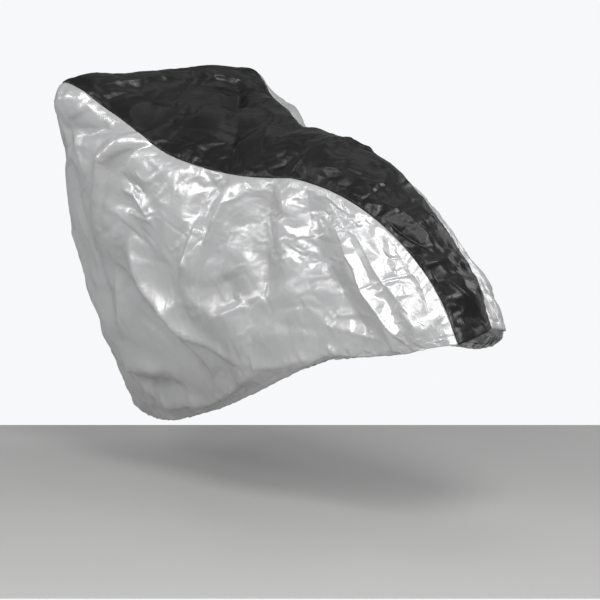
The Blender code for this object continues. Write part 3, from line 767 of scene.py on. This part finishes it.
def thicken(piece, panel):
    weightGroup(piece, "hem", panel["hemWeight"])
    thickness = piece.modifiers.new("cloth", "SOLIDIFY")
    thickness.thickness = cover["hemCloth"]
    thickness.offset = -1
    thickness.vertex_group = "hem"
    thickness.thickness_vertex_group = cover["cloth"] / cover["hemCloth"]


silverCoating = {
    "name": "silver_coating",
    "base": (0.59, 0.59, 0.595, 1.0),
    "worn": (0.54, 0.54, 0.545, 1.0),
    "metallic": 0.42,
    "specular": 0.5,
    "roughness": (0.29, 0.39),
    "facetScale": 19.0,
    "facetTilt": 0.11,
    "wrinkleScale": 11.0,
    "wrinkleDepth": 0.0022,
    "grainDepth": 0.00030,
    "weaveDepth": 0.00002,
}
blackCoating = {
    "name": "black_coating",
    "base": (0.003, 0.003, 0.0033, 1.0),
    "worn": (0.007, 0.007, 0.0075, 1.0),
    "metallic": 0.0,
    "specular": 0.4,
    "roughness": (0.31, 0.43),
    "facetScale": 22.0,
    "facetTilt": 0.10,
    "wrinkleScale": 13.0,
    "wrinkleDepth": 0.0020,
    "grainDepth": 0.00040,
    "weaveDepth": 0.00003,
}
weave = {"pitch": 0.0012, "bandPitch": 2 * math.pi / 20, "grainScale": 90.0}  # band pitch at a scale of 1
clouds = {"scale": 6.0, "detail": 4.0, "range": (0.3, 0.7)}  # where the coating is duller and more worn
wander = {"scale": 9.0, "reach": (0.09, 0.09, 0.09), "distortion": 0.6}  # bends the facets and the wrinkles


def newObject(name, data):
    obj = bpy.data.objects.new(name, data)
    bpy.context.collection.objects.link(obj)
    return obj


def newMaterial(name, values):
    material = bpy.data.materials.new(name)
    material.use_nodes = True
    shader = material.node_tree.nodes["Principled BSDF"]
    for entry, value in values.items():
        shader.inputs[entry].default_value = value
    return material, material.node_tree, shader


def addNode(tree, kind, values=None, **settings):  # the settings first: they change which sockets show
    node = tree.nodes.new(kind)
    for name, value in settings.items():
        setattr(node, name, value)
    for name, value in (values or {}).items():
        node.inputs[name].default_value = value
    return node


def socketOf(sockets, key):  # by place, or by name among those in use
    if isinstance(key, int):
        return sockets[key]
    return next(socket for socket in sockets if socket.enabled and socket.name == key)


def wire(*wires):  # each runs from a node's output to a node's input
    for source, output, target, entry in wires:
        links = source.id_data.links
        links.new(socketOf(source.outputs, output), socketOf(target.inputs, entry))


def clothMaterial(coating):  # small facets, wrinkles finer than the mesh, grain, then the weave
    material, tree, shader = newMaterial(
        coating["name"], {"Metallic": coating["metallic"], "Specular IOR Level": coating["specular"]}
    )
    place = addNode(tree, "ShaderNodeTexCoord")
    bend = addNode(tree, "ShaderNodeTexNoise", {"Scale": wander["scale"], "Detail": 1.0})
    shift = addNode(tree, "ShaderNodeVectorMath", {1: wander["reach"]}, operation="MULTIPLY_ADD")
    wire((place, "Object", bend, "Vector"), (bend, "Color", shift, 0), (place, "Object", shift, 2))

    cloud = addNode(tree, "ShaderNodeTexNoise", {"Scale": clouds["scale"], "Detail": clouds["detail"]})
    ranges = ("From Min", "From Max", "To Min", "To Max")
    dull = addNode(tree, "ShaderNodeMapRange", dict(zip(ranges, clouds["range"] + coating["roughness"])))
    # A colour mix has its factor at 0, its colours at 6 and 7, and its result at 2.
    tone = addNode(tree, "ShaderNodeMix", {6: coating["base"], 7: coating["worn"]}, data_type="RGBA")
    wire((place, "Object", cloud, "Vector"), (cloud, "Fac", dull, "Value"), (cloud, "Fac", tone, 0))
    wire((dull, "Result", shader, "Roughness"), (tone, 2, shader, "Base Color"))

    facet = addNode(tree, "ShaderNodeTexVoronoi", {"Scale": coating["facetScale"]})
    centred = addNode(tree, "ShaderNodeVectorMath", {1: (0.5, 0.5, 0.5)}, operation="SUBTRACT")
    tilt = addNode(tree, "ShaderNodeVectorMath", {"Scale": coating["facetTilt"]}, operation="SCALE")
    surface, tilted = addNode(tree, "ShaderNodeNewGeometry"), addNode(tree, "ShaderNodeVectorMath")
    even = addNode(tree, "ShaderNodeVectorMath", operation="NORMALIZE")
    wire((shift, "Vector", facet, "Vector"), (facet, "Color", centred, 0), (centred, "Vector", tilt, 0))
    wire((tilt, "Vector", tilted, 0), (surface, "Normal", tilted, 1), (tilted, "Vector", even, 0))

    ridged = {"noise_type": "RIDGED_MULTIFRACTAL"}
    folded = {"Scale": coating["wrinkleScale"], "Detail": 3.0, "Distortion": wander["distortion"]}
    wrinkle = addNode(tree, "ShaderNodeTexNoise", folded, **ridged)
    grain = addNode(tree, "ShaderNodeTexNoise", {"Scale": weave["grainScale"], "Detail": 2.0}, **ridged)
    scale = {"Scale": weave["bandPitch"] / weave["pitch"]}
    warp = addNode(tree, "ShaderNodeTexWave", scale, bands_direction="X")
    weft = addNode(tree, "ShaderNodeTexWave", scale, bands_direction="Y")
    woven = addNode(tree, "ShaderNodeMath", operation="MULTIPLY")
    wire((shift, "Vector", wrinkle, "Vector"), (place, "Object", grain, "Vector"))
    wire((place, "UV", warp, "Vector"), (place, "UV", weft, "Vector"))
    wire((warp, "Fac", woven, 0), (weft, "Fac", woven, 1))
    below, out = even, "Vector"
    for relief, depth in ((wrinkle, "wrinkleDepth"), (grain, "grainDepth"), (woven, "weaveDepth")):
        bump = addNode(tree, "ShaderNodeBump", {"Distance": coating[depth]})
        wire((relief, 0, bump, "Height"), (below, out, bump, "Normal"))
        below, out = bump, "Normal"
    wire((below, out, shader, "Normal"))
    return material


# A topstitch runs beside each seam on the black side, and one closes the hem band.
stitching = {
    "spacing": 0.0042,
    "size": (0.0034, 0.0009, 0.0006),  # along the line, across it, and out of the cloth
    "uneven": (0.86, 1.10),
    "lift": 0.0001,
    "seed": 4,
    "seamLine": 3,  # counted from the edge, among the close lines of cells
    "hemLine": 4,
    "twistScale": 900.0,
    "twistDepth": 0.00008,
}
threads = {
    "silver_cloth": ("grey_thread", {"Base Color": (0.34, 0.34, 0.345, 1.0), "Roughness": 0.6}),
    "black_cloth": ("black_thread", {"Base Color": (0.035, 0.035, 0.035, 1.0), "Roughness": 0.5}),
}


def threadMaterial(name, values):
    material, tree, shader = newMaterial(name, values)
    place = addNode(tree, "ShaderNodeTexCoord")
    twist = addNode(tree, "ShaderNodeTexNoise", {"Scale": stitching["twistScale"]})
    bump = addNode(tree, "ShaderNodeBump", {"Distance": stitching["twistDepth"]})
    wire((place, "Object", twist, "Vector"), (twist, "Fac", bump, "Height"))
    wire((bump, "Normal", shader, "Normal"))
    return material


def stitchTree():  # one small bead of thread at each point, lying along "run" with its back to "out"
    tree = bpy.data.node_groups.new("stitches", "GeometryNodeTree")
    kinds = {"Points": "Geometry", "Size": "Vector", "Least": "Float", "Most": "Float", "Seed": "Int"}
    for name, kind in (kinds | {"Thread": "Material"}).items():
        tree.interface.new_socket(name, in_out="INPUT", socket_type="NodeSocket" + kind)
    tree.interface.new_socket("Stitches", in_out="OUTPUT", socket_type="NodeSocketGeometry")
    given, made = addNode(tree, "NodeGroupInput"), addNode(tree, "NodeGroupOutput")
    bead = addNode(tree, "GeometryNodeMeshUVSphere", {"Segments": 6, "Rings": 3, "Radius": 0.5})
    turned = None
    for name, axis, pivot in (("run", "X", "AUTO"), ("out", "Z", "X")):
        direction = addNode(tree, "GeometryNodeInputNamedAttribute", {"Name": name}, data_type="FLOAT_VECTOR")
        align = addNode(tree, "FunctionNodeAlignRotationToVector", axis=axis, pivot_axis=pivot)
        wire((direction, "Attribute", align, "Vector"))
        if turned:
            wire((turned, "Rotation", align, "Rotation"))
        turned = align
    uneven = addNode(tree, "FunctionNodeRandomValue", data_type="FLOAT")
    sized = addNode(tree, "ShaderNodeVectorMath", operation="SCALE")
    sewn = addNode(tree, "GeometryNodeInstanceOnPoints")
    real, dyed = addNode(tree, "GeometryNodeRealizeInstances"), addNode(tree, "GeometryNodeSetMaterial")
    wire((given, "Least", uneven, "Min"), (given, "Most", uneven, "Max"))
    wire((given, "Seed", uneven, "Seed"), (given, "Size", sized, 0), (uneven, "Value", sized, "Scale"))
    wire((sized, "Vector", sewn, "Scale"), (given, "Points", sewn, "Points"))
    wire((bead, "Mesh", sewn, "Instance"), (turned, "Rotation", sewn, "Rotation"))
    wire((sewn, "Instances", real, "Geometry"), (real, "Geometry", dyed, "Geometry"))
    wire((given, "Thread", dyed, "Material"), (dyed, "Geometry", made, "Stitches"))
    return tree


def stitchLines(panel):  # lines of the panel's own cells that carry thread: (rows, columns) of each
    hem, seam = stitching["hemLine"], stitching["seamLine"]
    low, high = (hem if panel["hemSide"] == side else 0 for side in ("low", "high"))
    wide = slice(low, -high or None)
    lines = [(hem, wide), (-hem - 1, wide)]
    if panel["hemSide"]:
        lines.append((slice(hem, -hem), hem if panel["hemSide"] == "low" else -hem - 1))
    else:
        lines += [(slice(None), seam), (slice(None), -seam - 1)]
    return lines


def sewPoints(panel):
    grid = panel["points"]
    out = unit(np.cross(np.gradient(grid, axis=0), np.gradient(grid, axis=1)))
    places, runs, outs = [], [], []
    for rows, columns in stitchLines(panel):
        line, back = grid[rows, columns], out[rows, columns]
        length = np.concatenate(([0.0], np.cumsum(np.linalg.norm(np.diff(line, axis=0), axis=1))))
        count = int(length[-1] / stitching["spacing"])
        at = (np.arange(count) + 0.5) * length[-1] / count
        spots, backs = (
            np.stack([np.interp(at, length, side[:, k]) for k in range(3)], axis=1) for side in (line, back)
        )
        places.append(spots + unit(backs) * stitching["lift"])
        runs.append(unit(np.gradient(spots, axis=0)))
        outs.append(unit(backs))
    return np.concatenate(places), np.concatenate(runs), np.concatenate(outs)


stitches = stitchTree()


def sew(panel, thread):
    places, runs, outs = sewPoints(panel)
    points = bpy.data.meshes.new("stitch_points")
    points.from_pydata(places.tolist(), [], [])
    for name, vectors in (("run", runs), ("out", outs)):
        points.attributes.new(name, "FLOAT_VECTOR", "POINT").data.foreach_set("vector", vectors.ravel())
    piece = newObject(panel["stitches"], points)
    sewing = piece.modifiers.new("stitches", "NODES")
    sewing.node_group = stitches
    least, most = stitching["uneven"]
    size, seed = stitching["size"], stitching["seed"]
    values = {"Size": size, "Least": least, "Most": most, "Seed": seed, "Thread": thread}
    for socket in stitches.interface.items_tree:
        if socket.name in values:
            sewing[socket.identifier] = values[socket.name]
    graph = bpy.context.evaluated_depsgraph_get()
    beads = bpy.data.meshes.new_from_object(piece.evaluated_get(graph), depsgraph=graph)
    piece.modifiers.clear()
    piece.data = beads
    beads.shade_smooth()
    return piece


coatings = {"silver_cloth": clothMaterial(silverCoating), "black_cloth": clothMaterial(blackCoating)}
threadColours = {slot: threadMaterial(*thread) for slot, thread in threads.items()}
for panel in (leftPanel, centrePanel, rightPanel):
    piece = panelMesh(shapePanel(panel))
    settle(piece, panel)
    thicken(piece, panel)
    piece.data.materials.append(coatings[panel["slot"]])
    sewn = sew(panel, threadColours[panel["slot"]])
    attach(piece, "root")
    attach(sewn, "root")
    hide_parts(panel["node"])
    cells, beads = len(piece.data.polygons), len(sewn.data.polygons)
    print(panel["name"], "made,", cells, "cells and", beads, "faces of stitching")

room = {
    "floor": -cover["origin"][2],
    "floorSize": 2.4,
    "floorTurn": 50.6,
    "floorFinish": {"Base Color": (0.53, 0.53, 0.52, 1.0), "Roughness": 0.5},
    "sky": (0.93, 0.94, 0.95, 1.0),
    "skyShown": 1.0,
    "skyLight": {"From Min": -0.25, "From Max": 0.7, "To Min": 0.42, "To Max": 0.32},  # from below up
    "aim": (0.3608, 0.2415, -0.6564),
}
lamps = (  # name, from, size, power
    ("key", (3.3, -1.5, 1.8), 1.2, 80.0),
    ("fill", (1.8, -3.9, 1.4), 2.1, 70.0),
    ("front", (-1.5, -3.1, 0.9), 0.9, 17.0),
    ("overhead", (0.5, 0.5, 2.8), 2.0, 8.0),
    ("back", (1.5, 3.2, 1.4), 2.0, 30.0),
)
camera = {"place": (4.2098, -2.9190, -0.2144), "lens": 104.8}


def facing(obj, place):
    obj.location = place
    obj.rotation_euler = (Vector(room["aim"]) - Vector(place)).to_track_quat("-Z", "Y").to_euler()


def makeFloor():
    reach = room["floorSize"] / math.sqrt(2)
    x, y, z = *room["aim"][:2], room["floor"]
    turns = [math.radians(room["floorTurn"] + 45 + quarter * 90) for quarter in range(4)]
    corners = [(x + reach * math.cos(turn), y + reach * math.sin(turn), z) for turn in turns]
    mesh = bpy.data.meshes.new("floor")
    mesh.from_pydata(corners, [], [(0, 1, 2, 3)])
    mesh.materials.append(newMaterial("pale_floor", room["floorFinish"])[0])
    floor = newObject("floor", mesh)


def makeSky():
    world = bpy.data.worlds.new("studio")
    bpy.context.scene.world = world
    world.use_nodes = True
    tree = world.node_tree
    light = tree.nodes["Background"]
    light.inputs["Color"].default_value = room["sky"]
    shown = addNode(tree, "ShaderNodeBackground", {"Color": room["sky"], "Strength": room["skyShown"]})
    where, split = addNode(tree, "ShaderNodeTexCoord"), addNode(tree, "ShaderNodeSeparateXYZ")
    height = addNode(tree, "ShaderNodeMapRange", room["skyLight"])
    path, mix = addNode(tree, "ShaderNodeLightPath"), addNode(tree, "ShaderNodeMixShader")
    wire((where, "Generated", split, "Vector"), (split, "Z", height, "Value"))
    wire((height, "Result", light, "Strength"), (path, "Is Camera Ray", mix, 0))
    wire((light, "Background", mix, 1), (shown, "Background", mix, 2))
    wire((mix, "Shader", tree.nodes["World Output"], "Surface"))


def makeLamps():
    for name, place, size, power in lamps:
        lamp = bpy.data.lights.new(name, "AREA")
        lamp.shape, lamp.size, lamp.energy = "DISK", size, power
        facing(newObject(name, lamp), place)


def makeCamera():
    data = bpy.data.cameras.new("camera")
    data.lens = camera["lens"]
    bpy.context.scene.camera = newObject("camera", data)
    facing(bpy.context.scene.camera, camera["place"])


makeFloor()
makeSky()
makeLamps()
makeCamera()
bpy.context.scene.view_settings.view_transform = "Standard"
bpy.context.view_layer.update()
print("room made")
